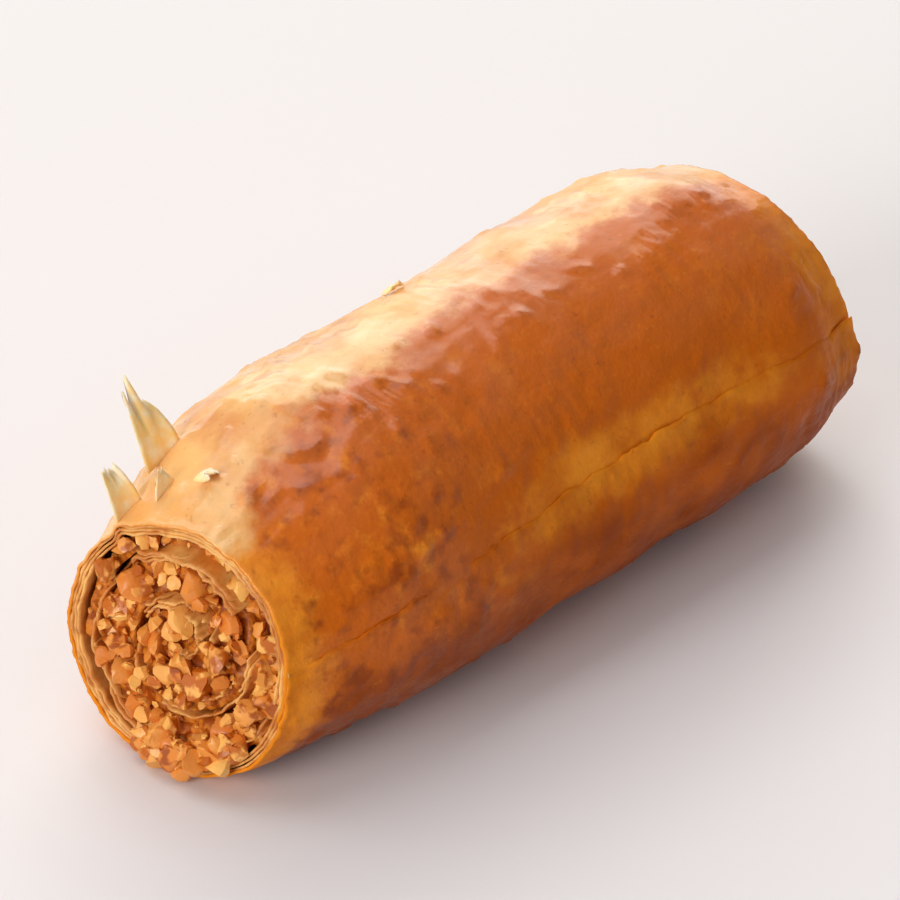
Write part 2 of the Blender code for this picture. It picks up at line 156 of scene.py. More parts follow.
class PastrySettings(bpy.types.PropertyGroup):
    """The rolled leaves of phyllo."""

    skin: LengthProperty(name="Skin", description="Its thickness", default=0.22 * MM)
    leaf: LengthProperty(name="Leaf", description="Its thickness", default=0.16 * MM)
    wall_pitch: LengthProperty(
        name="Wall pitch", description="From leaf to leaf in the wall", default=0.25 * MM
    )
    wall_turns: FloatProperty(name="Wall turns", description="Turns of leaf below the skin", default=3.0)
    inner_pitch: LengthProperty(name="Inner pitch", description="How far in a turn leads", default=3.2 * MM)
    inner_start: FloatProperty(
        name="Inner start", description="Turn at which the inner leaf leaves the wall", default=0.25
    )
    inner_turns: FloatProperty(name="Inner turns", description="Turns of the inner leaf", default=1.72)
    inner_radius: LengthProperty(
        name="Inner radius", description="Where it leaves the wall", default=8.14 * MM
    )
    rag: LengthProperty(name="Rag", description="Unevenness of the cut edges", default=0.34 * MM)
    soaked: ColourProperty(
        name="Soaked", description="Where syrup is in the leaf", default=(0.58, 0.120, 0.003)
    )
    dry: ColourProperty(name="Dry", description="Where the leaf stayed dry", default=(0.87, 0.28, 0.016))
    # Baked is also laid on the lower side of the skin, partly as painted shade
    baked: ColourProperty(name="Baked", description="Where it browned most", default=(0.25, 0.040, 0.002))
    # Pale is a painted highlight: the glossy top of the skin lit by the window, laid into the colour
    pale: ColourProperty(
        name="Pale", description="Where the top leaf dried out", default=(0.92, 0.52, 0.20)
    )


class FillingSettings(bpy.types.PropertyGroup):
    """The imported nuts."""

    wall_inside: LengthProperty(
        name="Wall inside", description="Radius of the wall's inside", default=8.09 * MM
    )
    root_turn: FloatProperty(
        name="Root turn", description="Turn at which the inner leaf starts in the wall", default=7 / 60
    )
    recess: LengthProperty(
        name="Recess", description="Of the paste behind the cut, at the top", default=1.3 * MM
    )
    sag: LengthProperty(name="Sag", description="How much less it is below", default=0.9 * MM)
    piece: LengthProperty(name="Piece", description="Largest nut pieces", default=1.75 * MM)
    seed: IntProperty(name="Seed", description="Of every random draw", default=7)


class StageSettings(bpy.types.PropertyGroup):
    """The picture."""

    azimuth: AngleProperty(name="Azimuth", description="Of the camera", default=math.radians(-45))
    elevation: AngleProperty(name="Elevation", description="Of the camera", default=math.radians(37))
    distance: LengthProperty(name="Distance", description="Of the camera", default=1.0)
    frame_width: LengthProperty(name="Frame width", description="What the picture is wide", default=46 * MM)


# Helpers


def linear(hex_colour):
    """The renderer's linear colour for an sRGB hex colour."""
    channels = [int(hex_colour[i : i + 2], 16) / 255 for i in (1, 3, 5)]
    return tuple(c / 12.92 if c <= 0.04045 else ((c + 0.055) / 1.055) ** 2.4 for c in channels) + (1.0,)


def fill(tree, node, inputs):
    """Sets or links a node's inputs, by name or by number in the node's order. A list is several links."""
    shown = [socket for socket in node.inputs if socket.enabled]
    for key, value in inputs.items():
        socket = shown[key] if isinstance(key, int) else next(s for s in shown if s.name == key)
        for source in value if isinstance(value, list) else [value]:
            if isinstance(source, bpy.types.NodeSocket):
                tree.links.new(source, socket)
            elif source is not None:
                socket.default_value = source


def add(tree, kind, *inputs, **settings):
    """Adds a node, makes its settings, fills its inputs, and returns its first output.

    The kind is a short word, a math operation or the node's own type. The inputs come in the node's
    order, or as one dict by name."""
    if kind in SHORT_WORDS:
        kind, preset = SHORT_WORDS[kind]
    elif kind.startswith("VECTOR "):
        kind, preset = "ShaderNodeVectorMath", {"operation": kind.removeprefix("VECTOR ")}
    elif kind.isupper():
        kind, preset = "ShaderNodeMath", {"operation": kind}
    else:
        preset = {}
    node = tree.nodes.new(kind)
    for name, value in {**preset, **settings}.items():
        setattr(node, name, value)
    named = len(inputs) == 1 and isinstance(inputs[0], dict)
    fill(tree, node, inputs[0] if named else dict(enumerate(inputs)))
    return next((socket for socket in node.outputs if socket.enabled), None)


def other(socket, name):
    """Another output of the node that has this one."""
    return next(s for s in socket.node.outputs if s.enabled and s.name == name)


def new_tree(name, sockets, result=("Geometry", "Geometry")):
    """A tree with named inputs. Returns it, a short way to add its nodes, and the inputs by name."""
    tree = bpy.data.node_groups.new(name, "GeometryNodeTree")
    tree.interface.new_socket(result[0], in_out="OUTPUT", socket_type="NodeSocket" + result[1])
    for label, kind, default in sockets:
        socket = tree.interface.new_socket(label, in_out="INPUT", socket_type="NodeSocket" + kind)
        if default is not None:
            socket.default_value = default
    start = tree.nodes.new("NodeGroupInput")
    return tree, partial(add, tree), {socket.name: socket for socket in start.outputs if socket.name}


def unit_block(node, columns, rows, layers):
    """A block of that many points each way, and the three places in it, from 0 to 1."""
    block = node("GeometryNodeMeshCube", None, columns, rows, layers)
    parts = node("PARTS", node("GeometryNodeInputPosition"))
    return block, [node("ADD", other(parts, axis), 0.5) for axis in "XYZ"]


def end_tree(node, shape, position, material, attributes=(), smooth=True):
    """Stores the attributes, moves the points to their places, and gives the finish."""
    for label, value in attributes:
        inputs = {"Geometry": shape, "Name": label, "Value": value}
        shape = node("GeometryNodeStoreNamedAttribute", inputs)
    if position is not None:
        shape = node("GeometryNodeSetPosition", {"Geometry": shape, "Position": position})
    if smooth:
        shape = node("GeometryNodeSetShadeSmooth", {"Geometry": shape})
    shape = node("GeometryNodeRealizeInstances", {"Geometry": shape})
    shape = node("GeometryNodeSetMaterial", {"Geometry": shape, "Material": material})
    node("NodeGroupOutput", {"Geometry": shape})


def grown(name, tree, values):
    """A new piece: what the tree makes of nothing, as a plain mesh."""
    piece = bpy.data.objects.new(name, bpy.data.meshes.new(name))
    bpy.context.scene.collection.objects.link(piece)
    modifier = piece.modifiers.new("Grow", "NODES")
    modifier.node_group = tree
    for item in tree.interface.items_tree:
        if item.in_out == "INPUT" and item.name in values:
            modifier[item.identifier] = values[item.name]
    graph = bpy.context.evaluated_depsgraph_get()
    mesh = bpy.data.meshes.new_from_object(
        piece.evaluated_get(graph), preserve_all_data_layers=True, depsgraph=graph
    )
    piece.modifiers.remove(modifier)
    piece.data = mesh
    mesh.name = name
    if not mesh.polygons:
        raise RuntimeError(name + " came out empty")
    return piece


def joined(name, pieces):
    """One piece out of several."""
    bm = bmesh.new()
    for piece in pieces:
        bm.from_mesh(piece.data)
    material = pieces[0].data.materials[-1]
    for piece in pieces:
        bpy.data.objects.remove(piece)
    mesh = bpy.data.meshes.new(name)
    bm.to_mesh(mesh)
    bm.free()
    mesh.materials.append(material)
    piece = bpy.data.objects.new(name, mesh)
    bpy.context.scene.collection.objects.link(piece)
    return piece


def hand_over(piece):
    """The piece belongs to the finger."""
    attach(piece, "root")


def uneven(node, place, layer, size, *grain):
    """Noise that swings about nothing, with lumps of that size."""
    return node("SUBTRACT", node("NOISE", place, layer, 1 / size, *grain), 0.5)


def between(node, value, rise, risen, fall, fallen):
    """One where the value is in the middle, and nothing on both sides, with eased slopes."""
    return node("MULTIPLY", node("RAMP", value, rise, risen), node("RAMP", value, fall, fallen, 1.0, 0.0))


# Trees


def finger_point_tree(finger):
    """Where a turn, a place along the finger and a radius of the even roll are on the real one.

    Each place is stretched by what the solid's skin shows there, so lumps, sag and flat are kept."""
    near_slope = (0.0, math.tan(finger.near_cut_turn), math.tan(finger.near_cut_lean))
    far_slope = (0.0, -math.tan(finger.far_cut_turn), -math.tan(finger.far_cut_lean))
    sockets = [
        ("Turn", "Float", 0.0),
        ("Along", "Float", 0.0),
        ("Radius", "Float", finger.radius),
        ("Inward", "Float", 0.0),
        ("Smoothing", "Int", 4),
        ("Length", "Float", finger.length),
        ("Roll radius", "Float", finger.radius),
        ("Axis place", "Vector", tuple(finger.axis_place)),
        ("Lap angle", "Float", finger.lap_angle),
        ("Lap wander", "Float", finger.lap_wander),
        ("Lap step", "Float", finger.lap_step),
        ("Near slope", "Vector", near_slope),
        ("Far slope", "Vector", far_slope),
        ("Bow", "Float", finger.bow),
        ("Taper", "Float", finger.taper),
        ("Taper length", "Float", finger.taper_length),
        ("Drop", "Float", finger.drop),
    ]
    tree, node, given = new_tree("Finger point", sockets, ("Position", "Vector"))
    along = given["Along"]
    swing = node("SINE", node("MULTIPLY_ADD", along, 0.9 * FULL_TURN, 0.15 * FULL_TURN))
    angle = node("MULTIPLY_ADD", swing, given["Lap wander"], given["Lap angle"])
    angle = node("MULTIPLY_ADD", given["Turn"], FULL_TURN, angle)
    over, up = node("COSINE", angle), node("SINE", angle)
    outward = node("XYZ", 0.0, over, up)

    # The near end is squeezed. There the axis comes down, and in the middle it bends sideways
    from_middle = node("SUBTRACT", along, 0.5)
    squared = node("MULTIPLY", from_middle, from_middle)
    bent = node("MULTIPLY", given["Bow"], node("MULTIPLY_ADD", squared, -4.0, 1.0))
    from_cut = node("MULTIPLY", along, given["Length"])
    squeeze = node("RAMP", from_cut, 0.0, given["Taper length"], 1.0, 0.0)
    dropped = node("MULTIPLY", node("MULTIPLY", squeeze, given["Drop"]), -1.0)
    bend = node("XYZ", 0.0, bent, dropped)
    middle = node("VECTOR ADD", given["Axis place"], bend)
    slope = node("MIX VECTOR", along, given["Near slope"], given["Far slope"])
    slant = node("VECTOR DOT_PRODUCT", slope, outward)

    # The solid's skin here, looked for a little inside the cuts, where its edge isn't ragged
    probe_along = node("ShaderNodeClamp", along, PROBE_INSET, 1 - PROBE_INSET)
    probe_x = node("MULTIPLY", node("SUBTRACT", probe_along, 0.5), given["Length"])
    tapered = node("MULTIPLY_ADD", node("MULTIPLY", squeeze, given["Taper"]), -1.0, 1.0)
    probe_x = node("MULTIPLY_ADD", slant, node("MULTIPLY", tapered, given["Roll radius"]), probe_x)
    probe_end = node("VECTOR ADD", middle, node("XYZ", probe_x, 0.0, 0.0))
    start_radius = PROBE_FROM * finger.radius
    solid = node("GeometryNodeObjectInfo", {"Object": PASTRY_SOLID})
    cast = {
        "Target Geometry": other(solid, "Geometry"),
        "Source Position": node("VECTOR ADD", probe_end, node("VECTOR SCALE", outward, start_radius)),
        "Ray Direction": node("VECTOR SCALE", outward, -1.0),
        "Ray Length": PROBE_DEPTH * finger.radius,
    }
    hit = node("GeometryNodeRaycast", cast)
    found = node("SUBTRACT", start_radius, other(hit, "Hit Distance"))
    less_step = node("MULTIPLY", given["Lap step"], -1.0)
    expected = node("MULTIPLY_ADD", node("FRACT", given["Turn"]), less_step, given["Roll radius"])
    share = node("DIVIDE", found, node("MULTIPLY", expected, tapered))
    # A flake that stands off the skin isn't skin
    is_skin = node("MULTIPLY", hit, node("LESS_THAN", share, HIGHEST_SKIN))
    share = node("MULTIPLY", node("MIX", is_skin, 1.0, share), tapered)
    blurred = {"Value": share, "Iterations": given["Smoothing"]}
    share = node("GeometryNodeBlurAttribute", blurred)

    # The finger's own coordinates, on the knife's planes at both ends, and never below the table
    stretched = node("MULTIPLY", given["Radius"], share)
    lower = node("MULTIPLY", dropped, other(node("PARTS", slope), "Z"))
    x = node("MULTIPLY_ADD", from_middle, given["Length"], node("MULTIPLY_ADD", slant, stretched, lower))
    x = node("MULTIPLY_ADD", given["Inward"], node("MULTIPLY", from_middle, -2.0), x)
    x_only = node("XYZ", x, 0.0, 0.0)
    offset = node("VECTOR ADD", x_only, node("VECTOR SCALE", outward, stretched))
    parts = node("PARTS", node("VECTOR ADD", middle, offset))
    above = node("MAXIMUM", other(parts, "Z"), 0.0)
    place = node("XYZ", parts, other(parts, "Y"), above)
    node("NodeGroupOutput", {"Position": place})
    return tree


def skin_relief(node, along, x, arc, turn):
    """How far the baked skin stands out: wrinkles, creases, blisters and dents.

    Returns the whole relief, and the part of it that browned because it stood out."""

    def sheet(x_share, arc_share):
        """The place on the rolled-out sheet, squashed along each of its sides."""
        around = node("MULTIPLY_ADD", x, 0.12, node("MULTIPLY", arc, arc_share))
        return node("XYZ", node("MULTIPLY", x, x_share), around, 0.0)

    wrinkle = node("NOISE", sheet(0.16, 1.0), 1.7, 1 / (0.85 * MM))
    wrinkle = node("MULTIPLY", node("SUBTRACT", wrinkle, 0.5), WRINKLE_HEIGHT)
    # Short creases across the finger, where the sheet was pushed together
    ridge = node("NOISE", sheet(1.0, 0.24), 5.1, 1 / (0.8 * MM), 1.0)
    ridge = node("RAMP", node("ABSOLUTE", node("SUBTRACT", ridge, 0.5)), 0.0, 0.1, 1.0, 0.0)
    patch = node("RAMP", node("NOISE", sheet(1.0, 1.0), 3.3, 1 / (6.0 * MM), 1.0), 0.44, 0.62)
    crease = node("MULTIPLY", node("MULTIPLY", ridge, patch), CREASE_HEIGHT)
    # Blisters stand closer together towards the near cut
    rough_part = between(node, along, 0.02, 0.08, 0.22, 0.4)
    level = node("MULTIPLY_ADD", rough_part, 0.09, node("NOISE", sheet(1.0, 1.0), 9.2, 1 / (1.35 * MM), 0.7))
    bubble = node("RAMP", level, 0.6, 0.78, 0.0, BLISTER_HEIGHT)
    dent = node("NOISE", sheet(1.0, 0.8), 12.4, 1 / (2.6 * MM), 1.0)
    dent = node("RAMP", dent, 0.25, 0.42, -DENT_DEPTH, 0.0)
    # Where the near end is squeezed together the sheet lies in small pleats
    pleat = node("NOISE", sheet(0.1, 1.0), 15.1, 1 / (1.5 * MM), 1.0)
    squeezed = node("RAMP", along, 0.02, 0.2, PLEAT_HEIGHT, 0.0)
    dent = node("MULTIPLY_ADD", node("SUBTRACT", pleat, 0.5), squeezed, dent)
    # The sheet is pressed flat below its free edge
    free = node("RAMP", turn, 0.965, 1.0, 1.0, 0.0)
    stands_out = node("MULTIPLY", node("ADD", bubble, crease), free)
    whole = node("MULTIPLY_ADD", node("ADD", wrinkle, dent), free, stands_out)
    return whole, stands_out


def rolled_leaf_tree(finger, finger_point):
    """A sheet of phyllo of even thickness, rolled up, wrinkled, and cut raggedly at both ends."""
    sockets = [
        ("Material", "Material", None),
        ("Columns", "Int", 200),
        ("Rows", "Int", 22),
        ("Bunching", "Float", 0.9),
        ("Start turn", "Float", 0.0),
        ("Turns", "Float", 1.0),
        ("Start radius", "Float", finger.radius),
        ("Pitch", "Float", finger.lap_step),
        ("Thickness", "Float", 0.2 * MM),
        ("Smoothing", "Int", 2),
        ("Wobble", "Float", 0.0),
        ("Wobble size", "Float", 3.0 * MM),
        ("Relief", "Float", 0.0),
        ("Rag", "Float", 0.3 * MM),
        ("Torn", "Float", 0.0),
        ("Edge rag", "Float", 0.0),
        ("Short of cut", "Float", 0.0),
        ("Seed", "Float", 0.0),
    ]
    tree, node, given = new_tree("Rolled leaf", sockets)
    sheet, (across, row, outside) = unit_block(node, given["Columns"], given["Rows"], 2)
    # Rows are bunched towards both cuts
    bunched = node("MULTIPLY", node("SINE", node("MULTIPLY", row, FULL_TURN)), given["Bunching"])
    along = node("MULTIPLY_ADD", bunched, -1 / FULL_TURN, row)
    since_edge = node("MULTIPLY", across, given["Turns"])
    turn = node("ADD", since_edge, given["Start turn"])
    from_end = node("MINIMUM", along, node("SUBTRACT", 1.0, along))
    from_end = node("MULTIPLY", from_end, finger.length)
    x = node("MULTIPLY", along, finger.length)
    arc = node("MULTIPLY", turn, FULL_TURN * finger.radius)
    seed = given["Seed"]

    # A leaf that nothing presses on is crinkled, most of all at its cut edge
    slow = node("XYZ", node("MULTIPLY", x, 0.35), arc, 0.0)
    sway = node("SUBTRACT", node("NOISE", slow, seed, node("DIVIDE", 1.0, given["Wobble size"]), 1.5), 0.5)
    loose = node("MULTIPLY_ADD", node("EXPONENT", node("DIVIDE", from_end, -1.6 * MM)), 1.8, 1.0)
    wobble = node("MULTIPLY", node("MULTIPLY", sway, loose), given["Wobble"])
    relief, stands_out = skin_relief(node, along, x, arc, turn)
    relief = node("MULTIPLY", relief, given["Relief"])

    # The free edge of the sheet is torn. Syrup glues most of it down, and some of it lifts
    edge = node("RAMP", since_edge, 0.0, 0.06, 1.0, 0.0)
    edge_place = node("XYZ", x, 0.0, 0.0)
    tear = uneven(node, edge_place, seed, 1.9 * MM, 4.0, 0.6)
    tear = node("MULTIPLY", node("MULTIPLY", tear, edge), node("MULTIPLY", given["Edge rag"], 2.2))
    torn_turn = node("MULTIPLY_ADD", tear, 1 / (FULL_TURN * finger.radius), turn)
    lift = node("NOISE", edge_place, 21.0, 1 / (5.5 * MM), 1.0)
    lift = node("SUBTRACT", lift, node("RAMP", along, 0.35, 0.6, 0.25, 0.0))
    lift = node("RAMP", lift, 0.42, 0.7, -0.4, 0.08)
    lift = node("MULTIPLY", node("MULTIPLY", lift, edge), given["Edge rag"])

    # The cut edges: uneven everywhere, and torn back behind the nuts in places
    at_edge = node("XYZ", node("GREATER_THAN", along, 0.5), arc, 0.0)
    rag = node("NOISE", at_edge, seed, 1 / (1.6 * MM), 3.0, 0.65)
    rag = node("MAXIMUM", node("SUBTRACT", rag, 0.28), 0.0)
    torn = node("RAMP", node("NOISE", at_edge, seed, 1 / (4.5 * MM), 1.0), 0.46, 0.62)
    rag = node("MULTIPLY_ADD", rag, node("MULTIPLY", given["Rag"], 2.0), given["Short of cut"])
    rag = node("MULTIPLY_ADD", torn, given["Torn"], rag)
    inward = node("MULTIPLY", rag, node("RAMP", from_end, 0.0, 3.6 * MM, 1.0, 0.0))
    curl = node("EXPONENT", node("DIVIDE", from_end, -0.5 * MM))
    curl = node("MULTIPLY", curl, node("MULTIPLY", given["Relief"], -0.14 * MM))

    radius = node("MULTIPLY_ADD", since_edge, node("MULTIPLY", given["Pitch"], -1.0), given["Start radius"])
    radius = node("ADD", node("ADD", radius, wobble), node("ADD", relief, node("ADD", lift, curl)))
    thin = node("MULTIPLY", edge, node("GREATER_THAN", given["Edge rag"], 0.0))
    thickness = node("MULTIPLY", given["Thickness"], node("MULTIPLY_ADD", thin, -0.6, 1.0))
    radius = node("MULTIPLY_ADD", node("SUBTRACT", outside, 1.0), thickness, radius)
    spot = {
        "Turn": torn_turn,
        "Along": along,
        "Radius": radius,
        "Inward": inward,
        "Smoothing": given["Smoothing"],
    }
    position = node("GROUP", spot, node_tree=finger_point)
    stored = [("around", turn), ("along", along), ("outside", outside), ("raised", stands_out)]
    end_tree(node, sheet, position, given["Material"], stored)
    return tree


def binding_tree(finger, pastry, filling, finger_point):
    """The fine dark paste of nut and syrup between the turns of the inner leaf."""
    sockets = [
        ("Material", "Material", None),
        ("Columns", "Int", 170),
        ("Rows", "Int", 16),
        ("Layers", "Int", 10),
        ("Wall inside", "Float", filling.wall_inside),
        ("Pitch", "Float", pastry.inner_pitch),
        ("Leaf", "Float", 0.5 * MM),
        ("Gap", "Float", 0.08 * MM),
        ("Open turns", "Float", 0.36),
        ("Leaf turns", "Float", 1.85),
        ("Recess", "Float", filling.recess),
        ("Sag", "Float", filling.sag),
    ]
    tree, node, given = new_tree("Nut binding", sockets)
    block, (across, row, outside) = unit_block(node, given["Columns"], given["Rows"], given["Layers"])
    bunched = node("SINE", node("MULTIPLY", row, FULL_TURN))
    along = node("MULTIPLY_ADD", bunched, -0.9 / FULL_TURN, row)

    # Turns since the leaf's root: from where the gap opens to a turn past the leaf's tip
    last = node("ADD", given["Leaf turns"], 1.0)
    since_root = node("MIX", across, given["Open turns"], last)
    inwards = node("MULTIPLY", given["Pitch"], -1.0)
    leaf_inside = node("MULTIPLY_ADD", since_root, inwards, given["Wall inside"])
    beyond_leaf = node("ADD", leaf_inside, node("ADD", given["Leaf"], given["Gap"]))
    past_tip = node("SUBTRACT", since_root, given["Leaf turns"])
    inner = node("MULTIPLY", beyond_leaf, node("RAMP", past_tip, -0.03, 0.07, 1.0, 0.0))
    inner = node("MAXIMUM", inner, 0.03 * MM)
    turn_before = node("MAXIMUM", node("SUBTRACT", since_root, 1.0), 0.0)
    outer = node("MULTIPLY_ADD", turn_before, inwards, given["Wall inside"])
    radius = node("MIX", outside, inner, node("SUBTRACT", outer, given["Gap"]))
    turn = node("ADD", since_root, filling.root_turn)

    # At the cuts it stands back, most at the top, and it is lumpy
    angle = node("MULTIPLY_ADD", turn, FULL_TURN, finger.lap_angle)
    over = node("MULTIPLY", radius, node("COSINE", angle))
    up = node("MULTIPLY", radius, node("SINE", angle))
    lowness = node("MULTIPLY_ADD", node("DIVIDE", up, given["Wall inside"]), -0.5, 0.5)
    depth = node("MULTIPLY_ADD", lowness, node("MULTIPLY", given["Sag"], -1.0), given["Recess"])
    section = node("XYZ", over, up, node("MULTIPLY", along, 10 * MM))
    lumps = uneven(node, section, 0.0, 1.5 * MM)
    depth = node("MULTIPLY_ADD", lumps, 1.7 * MM, depth)
    from_end = node("MINIMUM", along, node("SUBTRACT", 1.0, along))
    fade = node("RAMP", from_end, 0.0, 0.12, 1.0, 0.0)
    spot = {
        "Turn": turn,
        "Along": along,
        "Radius": radius,
        "Inward": node("MULTIPLY", depth, fade),
        "Smoothing": 2,
    }
    position = node("GROUP", spot, node_tree=finger_point)
    end = node("SUBTRACT", node("GREATER_THAN", along, 0.9999), node("LESS_THAN", along, 0.0001))
    end_tree(node, block, position, given["Material"], [("end", end), ("share", outside)])
    return tree


def nut_chips_tree():
    """Six chips: a smooth nut that a knife has cut several times, in cubes one unit across."""
    tree, node, given = new_tree("Nut chips", [("Resolution", "Int", 4)])
    chips = []
    for kind in range(CHIP_KINDS):
        count = given["Resolution"]
        chip = node("GeometryNodeMeshCube", (1.0, 1.0, 1.0), count, count, count)
        at = node("GeometryNodeInputPosition")
        place = node("VECTOR SCALE", node("VECTOR NORMALIZE", at), 0.56)
        for cut in range(CHIP_CUTS):
            index = CHIP_CUTS * kind + cut
            height = 1 - 2 * ((0.37 * index + 0.21) % 1.0)
            level = math.sqrt(1 - height * height)
            facing = (level * math.cos(GOLDEN_TURN * index), level * math.sin(GOLDEN_TURN * index), height)
            over = node("VECTOR DOT_PRODUCT", place, facing)
            over = node("MAXIMUM", node("SUBTRACT", over, 0.2 + 0.05 * cut), 0.0)
            cut_off = node("VECTOR SCALE", facing, over)
            place = node("VECTOR SUBTRACT", place, cut_off)
        bumps = node("NOISE", at, 3.7 * kind, 2.4)
        bumps = node("VECTOR SCALE", node("VECTOR SUBTRACT", other(bumps, "Color"), (0.5, 0.5, 0.5)), 0.42)
        sides = (1.25, 1.05, 0.8 + 0.08 * (kind % 3))
        place = node("VECTOR MULTIPLY", node("VECTOR ADD", place, bumps), sides)
        chip = node("GeometryNodeSetPosition", {"Geometry": chip, "Position": place})
        chip = node("GeometryNodeSetShadeSmooth", {"Geometry": chip})
        # The cuts keep their hard edges
        bend = node("GeometryNodeInputMeshEdgeAngle")
        sharp = node("GREATER_THAN", bend, math.radians(34))
        hard = {"Geometry": chip, "Selection": sharp, "Shade Smooth": False}
        chip = node("GeometryNodeSetShadeSmooth", hard, domain="EDGE")
        chips.append(node("GeometryNodeGeometryToInstance", [chip]))
    node("NodeGroupOutput", {"Geometry": node("GeometryNodeJoinGeometry", chips)})
    return tree


def drawn(node, seed, low, high, salt, kind="FLOAT"):
    """A random value for each instance. Each salt gives other values."""
    number = node("ADD", seed, salt)
    return node("FunctionNodeRandomValue", {0: low, 1: high, "Seed": number}, data_type=kind)


def strewn_chips(node, points, chips, resolution, size, smallest, seed):
    """Chips on points, each turned its own way, with a shade and a share of brown skin."""
    spin = drawn(node, seed, (0.0, 0.0, 0.0), (FULL_TURN,) * 3, 2, "FLOAT_VECTOR")
    pieces = {
        "Points": points,
        "Instance": node("GROUP", {"Resolution": resolution}, node_tree=chips),
        "Pick Instance": True,
        "Instance Index": drawn(node, seed, 0, CHIP_KINDS - 1, 4, "INT"),
        "Rotation": node("FunctionNodeEulerToRotation", spin),
        "Scale": node("MULTIPLY", size, drawn(node, seed, smallest, 1.0, 3)),
    }
    shape = node("GeometryNodeInstanceOnPoints", pieces)
    for label, salt in (("shade", 5), ("skinned", 6)):
        inputs = {"Geometry": shape, "Name": label, "Value": drawn(node, seed, 0.0, 1.0, salt)}
        shape = node("GeometryNodeStoreNamedAttribute", inputs, domain="INSTANCE")
    return shape


def chopped_nut_tree(filling, chips):
    """Chopped nuts scattered over the paste's two cut faces."""
    sockets = [
        ("Material", "Material", None),
        ("Binding", "Object", None),
        ("Resolution", "Int", 4),
        ("Size", "Float", filling.piece),
        ("Smallest", "Float", 0.6),
        ("Spacing", "Float", 0.6),
        ("Stands out", "Float", 0.3 * MM),
        ("Off the leaves", "Float", 0.2),
        ("Seed", "Int", filling.seed),
    ]
    tree, node, given = new_tree("Chopped nuts", sockets)
    binding = other(node("GeometryNodeObjectInfo", {"Object": given["Binding"]}), "Geometry")
    end = node("GeometryNodeInputNamedAttribute", {"Name": "end"}, data_type="FLOAT")
    share = node("GeometryNodeInputNamedAttribute", {"Name": "share"}, data_type="FLOAT")
    off_middle = node("ABSOLUTE", node("SUBTRACT", share, 0.5))
    clear = node("LESS_THAN", off_middle, node("SUBTRACT", 0.5, given["Off the leaves"]))
    spacing = node("MULTIPLY", given["Size"], given["Spacing"])
    spread = {
        "Mesh": binding,
        "Selection": node("MULTIPLY", node("GREATER_THAN", node("ABSOLUTE", end), 0.6), clear),
        "Distance Min": spacing,
        "Density Max": node("DIVIDE", 3.0, node("MULTIPLY", spacing, spacing)),
        "Seed": given["Seed"],
    }
    points = node("GeometryNodeDistributePointsOnFaces", spread, distribute_method="POISSON")
    reach = node("MULTIPLY", given["Stands out"], drawn(node, given["Seed"], -0.6, 1.0, 1))
    away = node("XYZ", node("MULTIPLY", end, reach), 0.0, 0.0)
    points = node("GeometryNodeSetPosition", {"Geometry": points, "Offset": away})
    sizes = (given["Resolution"], given["Size"], given["Smallest"])
    shape = strewn_chips(node, points, chips, *sizes, given["Seed"])
    end_tree(node, shape, None, given["Material"], smooth=False)
    return tree


def spilled_nut_tree(finger, filling, finger_point, chips):
    """Nuts that have sagged over the lower lip of the near cut, in an arc of several rows."""
    sockets = [
        ("Material", "Material", None),
        ("Count", "Int", 36),
        ("First angle", "Float", math.radians(222)),
        ("Last angle", "Float", math.radians(288)),
        ("Radius", "Float", 7.8 * MM),
        ("Spread", "Float", 1.0 * MM),
        ("Stands out", "Float", 0.8 * MM),
        ("Size", "Float", 0.85 * filling.piece),
        ("Seed", "Int", filling.seed),
    ]
    tree, node, given = new_tree("Spilled nuts", sockets)
    seed = given["Seed"]
    share = node("DIVIDE", node("GeometryNodeInputIndex"), given["Count"])
    angle = node("MIX", share, given["First angle"], given["Last angle"])
    turn = node("DIVIDE", node("SUBTRACT", angle, finger.lap_angle + finger.lap_wander), FULL_TURN)
    # Most stand out in the middle of the arc
    middle = node("SINE", node("MULTIPLY", share, math.pi))
    reach = node("MULTIPLY", node("MULTIPLY", given["Stands out"], middle), drawn(node, seed, -1.0, 0.1, 11))
    spot = {
        "Turn": turn,
        "Along": 0.0,
        "Radius": node("MULTIPLY_ADD", given["Spread"], drawn(node, seed, -1.0, 0.5, 12), given["Radius"]),
        "Inward": reach,
        "Smoothing": 0,
    }
    place = node("GROUP", spot, node_tree=finger_point)
    points = node("GeometryNodeMeshLine", {"Count": given["Count"]})
    points = node("GeometryNodeSetPosition", {"Geometry": points, "Position": place})
    shape = strewn_chips(node, points, chips, 4, given["Size"], 0.5, seed)
    end_tree(node, shape, None, given["Material"], smooth=False)
    return tree


